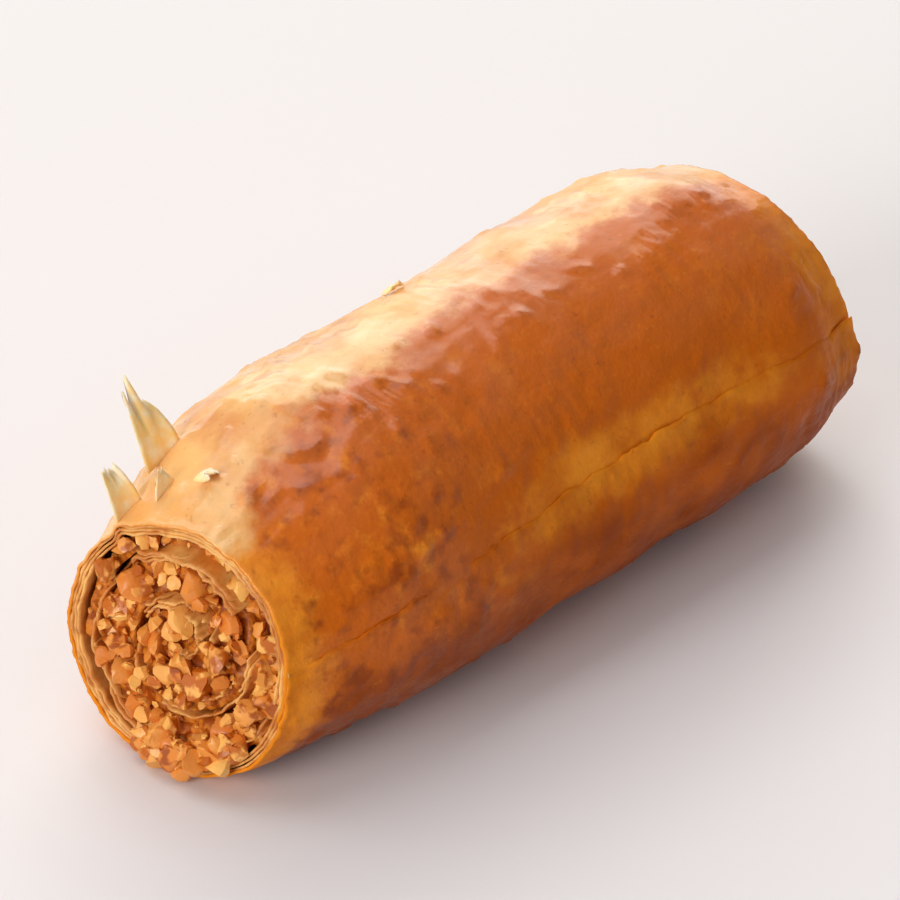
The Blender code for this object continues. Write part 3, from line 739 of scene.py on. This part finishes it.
def torn_flake_tree(finger, finger_point):
    """A torn scrap of sheet that leaves the skin and curls outwards, wide at its root."""
    sockets = [
        ("Material", "Material", None),
        ("Turn", "Float", 0.66),
        ("Along", "Float", 0.05),
        ("Length", "Float", 3.6 * MM),
        ("Width", "Float", 3.3 * MM),
        ("Lift", "Float", math.radians(70)),
        ("Sunk", "Float", 0.5 * MM),
        ("Thickness", "Float", 0.13 * MM),
        ("Seed", "Float", 0.0),
    ]
    tree, node, given = new_tree("Torn flake", sockets)
    sheet, (side, share, outside) = unit_block(node, 12, 14, 2)
    across = node("MULTIPLY_ADD", side, 2.0, -1.0)
    squared = node("MULTIPLY", share, share)
    spot = {"Turn": given["Turn"], "Along": given["Along"], "Radius": FLAKE_ROOT_RADIUS, "Smoothing": 0}
    root = node("GROUP", spot, node_tree=finger_point)
    angle = node("MULTIPLY_ADD", given["Turn"], FULL_TURN, finger.lap_angle + 0.9 * finger.lap_wander)
    over, up = node("COSINE", angle), node("SINE", angle)
    outward = node("XYZ", 0.0, over, up)
    sideways = node("XYZ", 0.0, node("MULTIPLY", up, -1.0), over)
    steep, flat = node("SINE", given["Lift"]), node("COSINE", given["Lift"])
    rise = node("VECTOR ADD", node("VECTOR SCALE", sideways, flat), node("VECTOR SCALE", outward, steep))
    face = node("VECTOR SUBTRACT", node("VECTOR SCALE", outward, flat), node("VECTOR SCALE", sideways, steep))

    # Each place of the torn edge has its own length, in three or four points
    edge_place = node("XYZ", across, given["Seed"], 0.0)
    grain = {"Vector": edge_place, "Scale": 1.9, "Detail": 3.0, "Roughness": 0.7}
    torn = node("ShaderNodeTexNoise", grain)
    torn = node("MINIMUM", node("MULTIPLY_ADD", torn, 2.2, -0.35), 1.05)
    reach = node("MULTIPLY_ADD", node("SUBTRACT", torn, 1.0), share, 1.0)
    reach = node("MULTIPLY", node("MULTIPLY", reach, share), given["Length"])
    half = node("MULTIPLY", node("MULTIPLY_ADD", node("POWER", share, 1.5), -0.55, 1.0), given["Width"])
    forward = node("MULTIPLY_ADD", node("MULTIPLY", half, 0.5), across, node("MULTIPLY", reach, -0.16))
    place_on = node("XYZ", node("MULTIPLY", half, across), reach, given["Seed"])
    crinkle = uneven(node, place_on, given["Seed"], 0.9 * MM, 1.0)
    hollow = node("MULTIPLY_ADD", node("MULTIPLY", across, across), -0.08, 0.08)
    bulge = node("MULTIPLY", hollow, given["Width"])
    bulge = node("MULTIPLY_ADD", node("MULTIPLY", given["Length"], 0.22), squared, bulge)
    bulge = node("MULTIPLY_ADD", node("MULTIPLY", crinkle, share), 0.5 * MM, bulge)
    thin = node("MULTIPLY", given["Thickness"], node("MULTIPLY_ADD", share, -0.4, 1.0))
    bulge = node("MULTIPLY_ADD", node("SUBTRACT", outside, 0.5), thin, bulge)
    left = node("SUBTRACT", 1.0, share)
    sunk = node("MULTIPLY", node("MULTIPLY", left, left), node("MULTIPLY", given["Sunk"], -1.0))
    place = node("VECTOR ADD", root, node("XYZ", forward, 0.0, 0.0))
    for direction, distance in ((rise, reach), (face, bulge), (outward, sunk)):
        place = node("VECTOR ADD", place, node("VECTOR SCALE", direction, distance))
    end_tree(node, sheet, place, given["Material"])
    return tree


# Materials


def finish(material, inputs):
    """Sets or links the material's values, by name."""
    fill(material.node_tree, material.node_tree.nodes["Principled BSDF"], inputs)


def new_material(name, roughness, coat=0.0, coat_roughness=0.15, glow=0.0, glow_depth=0.8 * MM):
    """A new material. Returns it, a short way to add its nodes, and the place on the finger."""
    material = bpy.data.materials.new(name)
    material.use_nodes = True
    uniform = {
        "Roughness": roughness,
        "Coat Weight": coat,
        "Coat Roughness": coat_roughness,
        "Subsurface Weight": glow,
        "Subsurface Radius": (1.0, 0.45, 0.15),
        "Subsurface Scale": glow_depth,
    }
    finish(material, uniform)
    node = partial(add, material.node_tree)
    return material, node, other(node("ShaderNodeTexCoord"), "Object")


def attribute(node, name):
    """A number that the tree stored on the piece."""
    return other(node("ShaderNodeAttribute", attribute_name=name), "Fac")


def roughen(material, node, height, strength, depth):
    """Fine relief, in the shading alone."""
    inputs = {"Strength": strength, "Distance": depth, "Height": height}
    finish(material, {"Normal": node("ShaderNodeBump", inputs)})


def baked_skin_material(pastry):
    """Phyllo brushed with butter, baked and soaked in syrup: clear amber, with dry and dark parts, a painted
    highlight along the top and painted shade on the lower side.
    """
    material, node, at = new_material(
        "phyllo_baked_skin", 0.4, coat_roughness=0.2, glow=0.08, glow_depth=0.9 * MM
    )
    finish(material, {"Specular IOR Level": 0.06})
    colours = (pastry.soaked, pastry.dry, pastry.baked, pastry.pale)
    soaked, dry, baked, pale = ((*colour, 1.0) for colour in colours)
    around, along = attribute(node, "around"), attribute(node, "along")
    outside, raised = attribute(node, "outside"), attribute(node, "raised")

    # Both ends and some patches took up less syrup. The strip by the free edge is lighter as well: a painted
    # highlight where the lifted edge catches light, on drier leaf
    patches = uneven(node, at, 0.0, 5.5 * MM, 3.0, 0.55)
    patches = node("MULTIPLY_ADD", patches, 1.3, 0.05)
    mottle = uneven(node, at, 0.0, 1.3 * MM, 4.0, 0.6)
    blotched = between(node, along, 0.0, 0.05, 0.22, 0.45)
    contrast = node("MULTIPLY_ADD", blotched, 1.6, 0.9)
    dryness_and_highlight = node("MULTIPLY_ADD", mottle, contrast, patches)
    near_edge = node("RAMP", node("MULTIPLY_ADD", mottle, 0.06, along), 0.02, 0.085, 1.0, 0.0)
    dryness_and_highlight = node("MULTIPLY_ADD", near_edge, 0.7, dryness_and_highlight)
    dryness_and_highlight = node("MULTIPLY_ADD", node("RAMP", along, 0.86, 1.0), 0.6, dryness_and_highlight)
    off_edge = node("SUBTRACT", node("FRACT", node("ADD", around, 0.5)), 0.498)
    lap_highlight = node("RAMP", node("ABSOLUTE", off_edge), 0.008, 0.055, 1.0, 0.0)
    lap_highlight_stretch = between(node, along, 0.29, 0.45, 0.76, 0.92)
    broken = node("RAMP", node("NOISE", at, 3.0, 1 / (3.0 * MM), 3.0), 0.3, 0.6, 0.45, 1.0)
    lap_highlight_stretch = node("MULTIPLY", lap_highlight_stretch, broken)
    # The strip by the free edge is lightened here: painted highlight
    dryness_and_highlight = node("MULTIPLY_ADD", node("MULTIPLY", lap_highlight, lap_highlight_stretch), 0.75, dryness_and_highlight)
    dryness_and_highlight = node("RAMP", dryness_and_highlight, 0.05, 0.95)
    colour = node("MIX COLOUR", dryness_and_highlight, soaked, dry)

    # The lower side is darkened towards the baked colour, partly as painted shade and partly as browning, and
    # what stands up is browned
    low = between(node, around, -0.02, 0.12, 0.5, 0.62)
    low = node("MULTIPLY", low, node("RAMP", along, 0.03, 0.09))
    browning_and_shade = node("MULTIPLY", uneven(node, at, 2.0, 3.0 * MM), 1.6)
    browning_and_shade = node("MULTIPLY_ADD", low, 0.75, node("MULTIPLY_ADD", raised, 1500.0, browning_and_shade))
    # Behind the near cut a band is darker, most towards the lower side
    band = between(node, along, 0.02, 0.07, 0.18, 0.3)
    browning_and_shade = node("MULTIPLY_ADD", band, node("RAMP", off_edge, -0.18, -0.04, 0.0, 0.2), browning_and_shade)
    spots = node("RAMP", node("NOISE", at, 11.0, 1 / (0.9 * MM), 2.0, 0.5), 0.44, 0.72, 0.0, 0.5)
    browning_and_shade = node("MULTIPLY_ADD", blotched, spots, browning_and_shade)
    colour = node("MIX COLOUR", node("MULTIPLY", node("RAMP", browning_and_shade, 0.1, 0.95), 0.8), colour, baked)

    # Along the top the skin is painted pale up to a ragged line: a painted highlight of the window on the
    # glaze, laid into the colour
    ragged = uneven(node, at, 5.0, 2.6 * MM, 4.0, 0.6)
    ragged = node("MULTIPLY_ADD", ragged, 0.1, around)
    front = node("RAMP", along, 0.0, 0.12, 0.85, 0.805)
    inside = node("SUBTRACT", front, ragged)
    top = node("MULTIPLY", node("RAMP", inside, 0.0, 0.03), node("RAMP", around, 0.48, 0.62))
    thin = node("RAMP", node("NOISE", at, 7.0, 1 / (3.5 * MM), 3.0, 0.5), 0.3, 0.6, 0.45, 0.95)
    colour = node("MIX COLOUR", node("MULTIPLY", top, thin), colour, pale)
    fleck = node("NOISE", at, 4.0, 1 / (0.35 * MM))
    colour = node("MIX COLOUR", node("MULTIPLY", node("RAMP", fleck, 0.6, 0.76), 0.2), colour, dry)
    dark_fleck = node("MULTIPLY", node("RAMP", fleck, 0.24, 0.4, 1.0, 0.0), 0.3)
    colour = node("MIX COLOUR", dark_fleck, colour, baked)
    # The thin cut and torn edges are dry
    colour = node("MIX COLOUR", node("RAMP", outside, 0.2, 0.8, 0.85, 0.0), colour, dry)
    finish(material, {"Base Color": colour})

    # Syrup lies glossy on the top and has sunk in at the sides
    shine = node("RAMP", node("NOISE", at, 6.0, 1 / (2.4 * MM), 3.0), 0.38, 0.62)
    dull = node("MULTIPLY_ADD", dryness_and_highlight, 0.12, 0.42)
    finish(material, {"Roughness": node("MULTIPLY_ADD", shine, -0.14, dull)})
    upper = between(node, around, 0.5, 0.65, 0.84, 1.0)
    upper = node("MAXIMUM", upper, node("MULTIPLY", blotched, 0.3))
    finish(material, {"Coat Weight": node("MULTIPLY", upper, node("MULTIPLY_ADD", shine, 0.45, 0.4))})
    finish(material, {"Coat IOR": 1.7})
    # Long fibres and pinprick blisters of the leaf
    grain = node("NOISE", at, 9.0, 1 / (0.28 * MM), 3.0)
    grain = node("MULTIPLY_ADD", node("NOISE", at, 8.0, 1 / (0.9 * MM)), 1.5, grain)
    roughen(material, node, grain, 0.6, 0.09 * MM)
    return material


def leaf_material():
    """The leaves that show at the cuts: thin, pale at their dry edges, and soaked in places."""
    material, node, at = new_material("phyllo_leaf", 0.42, coat=0.2, coat_roughness=0.25, glow=0.2)
    patch = node("RAMP", node("NOISE", at, 0.0, 1 / (1.6 * MM), 3.0), 0.38, 0.66)
    colour = node("MIX COLOUR", patch, linear("#D07E30"), linear("#F7B766"))
    speck = node("RAMP", node("NOISE", at, 3.0, 1 / (0.4 * MM)), 0.55, 0.75, 0.0, 0.5)
    colour = node("MIX COLOUR", speck, colour, linear("#A3500F"))
    finish(material, {"Base Color": colour})
    return material


def flake_material():
    """Loose scraps of baked sheet, dry and pale cream, coloured paler still as painted light."""
    material, node, at = new_material("phyllo_flake", 0.45, coat=0.15, coat_roughness=0.3, glow=0.25)
    patch = node("RAMP", node("NOISE", at, 0.0, 1 / (1.1 * MM), 3.0), 0.4, 0.65)
    # Painted light: the near-white colours stand in for light shining through the thin scraps, which face
    # away from the lamps
    finish(material, {"Base Color": node("MIX COLOUR", patch, linear("#FFD692"), linear("#FFF2D6"))})
    return material


def nut_material():
    """Chopped nuts in syrup: pale broken flesh, and brown skin on some sides."""
    material, node, at = new_material("nut_chopped", 0.4, coat=0.35, glow=0.06, glow_depth=0.6 * MM)
    finish(material, {"Specular IOR Level": 0.3})
    shade = attribute(node, "shade")
    flesh = node("MIX COLOUR", shade, linear("#E0802A"), linear("#FFC266"))
    skin = node("MIX COLOUR", shade, linear("#A04808"), linear("#CC6C12"))
    skinned = node("MULTIPLY_ADD", attribute(node, "skinned"), 0.5, -0.35)
    patch = node("ADD", node("NOISE", at, 0.0, 1 / (0.8 * MM)), skinned)
    finish(material, {"Base Color": node("MIX COLOUR", node("RAMP", patch, 0.5, 0.62), flesh, skin)})
    roughen(material, node, node("NOISE", at, 0.0, 1 / (0.2 * MM)), 0.5, 0.06 * MM)
    return material


def binding_material():
    """Nut meal and syrup, deep brown where it lies in shade between the pieces."""
    material, node, at = new_material("nut_binding", 0.45, coat=0.15)
    finish(material, {"Specular IOR Level": 0.2})
    meal = node("RAMP", node("NOISE", at, 0.0, 1 / (0.45 * MM), 3.0), 0.35, 0.65)
    finish(material, {"Base Color": node("MIX COLOUR", meal, linear("#9A4608"), linear("#DD8426"))})
    roughen(material, node, node("NOISE", at, 2.0, 1 / (0.3 * MM)), 0.7, 0.12 * MM)
    return material


def floor_material():
    """A pale matt table."""
    material = new_material("pale_table", 0.6)[0]
    finish(material, {"Base Color": linear("#E9E7EB")})
    return material


# Operators


class BAKLAVA_OT_pastry(bpy.types.Operator):
    """Roll the baked skin, the leaves below it and the loose inner leaves"""

    bl_idname = "baklava.pastry"
    bl_label = "Roll pastry"

    def execute(self, context):
        finger, pastry = context.scene.baklava_finger, context.scene.baklava_pastry
        tree = rolled_leaf_tree(finger, finger_point_tree(finger))
        leaf_look = leaf_material()
        inner = {
            "Start turn": pastry.inner_start,
            "Pitch": pastry.inner_pitch,
            "Turns": pastry.inner_turns,
            "Start radius": pastry.inner_radius,
            "Wobble": 0.32 * MM,
            "Wobble size": 2.6 * MM,
            "Rag": 1.3 * pastry.rag,
            "Torn": 1.3 * MM,
        }
        leaves = {
            "baked_skin": {
                "Material": baked_skin_material(pastry),
                "Columns": 232,
                "Rows": 180,
                "Bunching": 0.3,
                "Turns": 1.07,
                "Start radius": finger.radius - 0.05 * MM,
                "Pitch": finger.lap_step - 0.06 * MM,
                "Thickness": pastry.skin,
                "Smoothing": 7,
                "Relief": 1.0,
                "Rag": pastry.rag,
                "Edge rag": 0.7 * MM,
            },
            "wall_leaves": {
                "Columns": 520,
                "Start turn": 1.0,
                "Turns": pastry.wall_turns,
                "Start radius": finger.radius - finger.lap_step - 0.05 * MM,
                "Pitch": pastry.wall_pitch,
                "Wobble": 0.06 * MM,
                "Wobble size": 2.2 * MM,
                "Rag": 1.1 * pastry.rag,
                "Short of cut": 0.05 * MM,
                "Seed": 4.0,
            },
            "inner_leaf": {**inner, "Columns": 260, "Short of cut": 0.1 * MM, "Seed": 11.0},
            "inner_leaf_under": {
                **inner,
                "Columns": 230,
                "Turns": 0.9 * pastry.inner_turns,
                "Start radius": pastry.inner_radius - 0.27 * MM,
                "Wobble size": 1.9 * MM,
                "Short of cut": 0.2 * MM,
                "Seed": 17.0,
            },
            "loose_wall_leaf": {
                "Columns": 130,
                "Start turn": 0.86,
                "Turns": 0.62,
                "Start radius": 8.2 * MM,
                "Pitch": 1.5 * MM,
                "Wobble": 0.3 * MM,
                "Wobble size": 2.2 * MM,
                "Rag": 1.3 * pastry.rag,
                "Torn": 0.8 * MM,
                "Short of cut": 0.12 * MM,
                "Seed": 23.0,
            },
        }
        # Scraps of leaf that were rolled in with the nuts: start turn, turns, radius
        scraps = ((0.68, 0.22, 6.9), (1.08, 0.2, 4.2), (1.62, 0.3, 3.4), (0.16, 0.16, 7.1), (1.9, 0.3, 1.7))
        for index, (start, turns, radius) in enumerate(scraps):
            leaves["leaf_scrap_%d" % (index + 1)] = {
                "Columns": 60,
                "Start turn": start,
                "Turns": turns,
                "Start radius": radius * MM,
                "Pitch": 5.0 * MM,
                "Wobble": 0.5 * MM,
                "Wobble size": 1.8 * MM,
                "Rag": 1.5 * pastry.rag,
                "Seed": 31.0 + index,
            }
        for name, values in leaves.items():
            piece = grown(name, tree, {"Material": leaf_look, "Thickness": pastry.leaf, **values})
            hand_over(piece)
            if name == "baked_skin":
                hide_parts("phyllo_roll")
        return {"FINISHED"}


class BAKLAVA_OT_filling(bpy.types.Operator):
    """Pack the chopped nuts between the leaves"""

    bl_idname = "baklava.filling"
    bl_label = "Pack filling"

    def execute(self, context):
        finger, pastry = context.scene.baklava_finger, context.scene.baklava_pastry
        filling = context.scene.baklava_filling
        point = bpy.data.node_groups["Finger point"]
        paste = binding_tree(finger, pastry, filling, point)
        binding = grown("nut_binding", paste, {"Material": binding_material()})
        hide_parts("nut_filling")
        look, chips = nut_material(), nut_chips_tree()
        tree = chopped_nut_tree(filling, chips)
        large = {
            "Size": filling.piece,
            "Smallest": 0.62,
            "Spacing": 0.6,
            "Stands out": 0.55 * MM,
            "Off the leaves": 0.2,
            "Seed": filling.seed + 10,
        }
        middling = {
            "Size": 0.58 * filling.piece,
            "Smallest": 0.55,
            "Spacing": 0.62,
            "Stands out": 0.75 * MM,
            "Off the leaves": 0.07,
            "Resolution": 3,
            "Seed": filling.seed + 20,
        }
        fine = {
            "Size": 0.26 * filling.piece,
            "Smallest": 0.4,
            "Spacing": 1.0,
            "Stands out": 0.6 * MM,
            "Off the leaves": 0.02,
            "Resolution": 3,
            "Seed": filling.seed + 30,
        }
        pieces = [binding]
        for name, values in (("nut_pieces", large), ("nut_chips", middling), ("nut_crumbs", fine)):
            pieces.append(grown(name, tree, {**values, "Material": look, "Binding": binding}))
        spilled = spilled_nut_tree(finger, filling, point, chips)
        pieces.append(grown("nut_spill", spilled, {"Material": look}))
        for piece in pieces:
            hand_over(piece)
        return {"FINISHED"}


class BAKLAVA_OT_flakes(bpy.types.Operator):
    """Tear flakes of sheet off the near rim and the skin"""

    bl_idname = "baklava.flakes"
    bl_label = "Tear flakes"

    def execute(self, context):
        tree = torn_flake_tree(context.scene.baklava_finger, bpy.data.node_groups["Finger point"])
        look = flake_material()
        # Turn, place along the finger, length and width in millimetres, lift in degrees
        standing = (
            (0.661, 0.037, 3.3, 2.0, 55),
            (0.664, 0.113, 4.4, 2.6, 58),
            (0.700, 0.060, 1.4, 1.6, 45),
        )
        lying = (
            (0.745, 0.075, 1.2, 1.5, 16),
            (0.700, 0.520, 1.1, 1.4, 15),
        )
        pieces = []
        for index, (turn, along, length, width, lift) in enumerate(standing + lying):
            values = {
                "Material": look,
                "Turn": turn,
                "Along": along,
                "Length": length * MM,
                "Width": width * MM,
                "Lift": math.radians(lift),
                "Sunk": (0.5 if lift > 30 else -0.25) * MM,
                "Seed": 3.1 * index + 1.0,
            }
            pieces.append(grown("torn_flake", tree, values))
        hand_over(joined("torn_flakes", pieces))
        return {"FINISHED"}


class BAKLAVA_OT_stage(bpy.types.Operator):
    """Set the pale table, the soft light and the camera"""

    bl_idname = "baklava.stage"
    bl_label = "Set stage"

    def execute(self, context):
        stage = context.scene.baklava_stage
        self.add_floor(context)
        for name, lamp in LAMPS.items():
            self.add_light(context, name, **lamp)
        world = bpy.data.worlds.new("bright_room")
        world.use_nodes = True
        background = world.node_tree.nodes["Background"]
        background.inputs["Color"].default_value = linear(ROOM_COLOUR)
        background.inputs["Strength"].default_value = ROOM_LIGHT
        context.scene.world = world
        context.scene.view_settings.view_transform = "Standard"

        level = math.cos(stage.elevation)
        direction = Vector((math.sin(stage.azimuth) * level, -math.cos(stage.azimuth) * level, 0.0))
        direction.z = math.sin(stage.elevation)
        data = bpy.data.cameras.new("camera")
        data.sensor_width = 36.0
        data.lens = data.sensor_width * stage.distance / stage.frame_width
        data.clip_start = 0.05
        data.clip_end = 10.0
        camera = bpy.data.objects.new("camera", data)
        camera.location = (CAD_BOX[0] + CAD_BOX[1]) / 2 + direction * stage.distance
        camera.rotation_euler = direction.to_track_quat("Z", "Y").to_euler()
        context.scene.collection.objects.link(camera)
        context.scene.camera = camera
        return {"FINISHED"}

    def add_floor(self, context):
        signs = ((-1, -1), (1, -1), (1, 1), (-1, 1))
        corners = [(x * TABLE_HALF_WIDTH, y * TABLE_HALF_WIDTH, 0) for x, y in signs]
        mesh = bpy.data.meshes.new("table")
        mesh.from_pydata(corners, [], [(0, 1, 2, 3)])
        mesh.materials.append(floor_material())
        floor = bpy.data.objects.new("table", mesh)
        context.scene.collection.objects.link(floor)

    def add_light(self, context, name, place, size, power, colour):
        """A square lamp that faces the finger."""
        light = bpy.data.lights.new(name, "AREA")
        light.shape = "SQUARE"
        light.size = size
        light.energy = power
        light.color = colour
        lamp = bpy.data.objects.new(name, light)
        lamp.location = place
        lamp.rotation_euler = (-Vector(place)).to_track_quat("-Z", "Y").to_euler()
        context.scene.collection.objects.link(lamp)


class BAKLAVA_PT_panel(bpy.types.Panel):
    """Settings and steps of the baklava finger"""

    bl_idname = "BAKLAVA_PT_panel"
    bl_label = "Baklava nut finger"
    bl_space_type = "VIEW_3D"
    bl_region_type = "UI"
    bl_category = "Baklava"

    def draw(self, context):
        for group in SETTINGS:
            settings = getattr(context.scene, group)
            box = self.layout.box()
            for name in settings.bl_rna.properties.keys():
                if name not in ("rna_type", "name"):
                    box.prop(settings, name)
        for step in STEPS:
            self.layout.operator(step.bl_idname)


SETTINGS = {
    "baklava_finger": FingerSettings,
    "baklava_pastry": PastrySettings,
    "baklava_filling": FillingSettings,
    "baklava_stage": StageSettings,
}
STEPS = (BAKLAVA_OT_pastry, BAKLAVA_OT_filling, BAKLAVA_OT_flakes, BAKLAVA_OT_stage)


def register():
    for cls in (*SETTINGS.values(), *STEPS, BAKLAVA_PT_panel):
        bpy.utils.register_class(cls)
    for name, cls in SETTINGS.items():
        setattr(bpy.types.Scene, name, PointerProperty(type=cls))


def unregister():
    for name in SETTINGS:
        delattr(bpy.types.Scene, name)
    for cls in reversed((*SETTINGS.values(), *STEPS, BAKLAVA_PT_panel)):
        bpy.utils.unregister_class(cls)


def main():
    register()
    bpy.ops.baklava.pastry()
    bpy.ops.baklava.filling()
    bpy.ops.baklava.flakes()
    bpy.ops.baklava.stage()


if __name__ == "__main__":
    main()
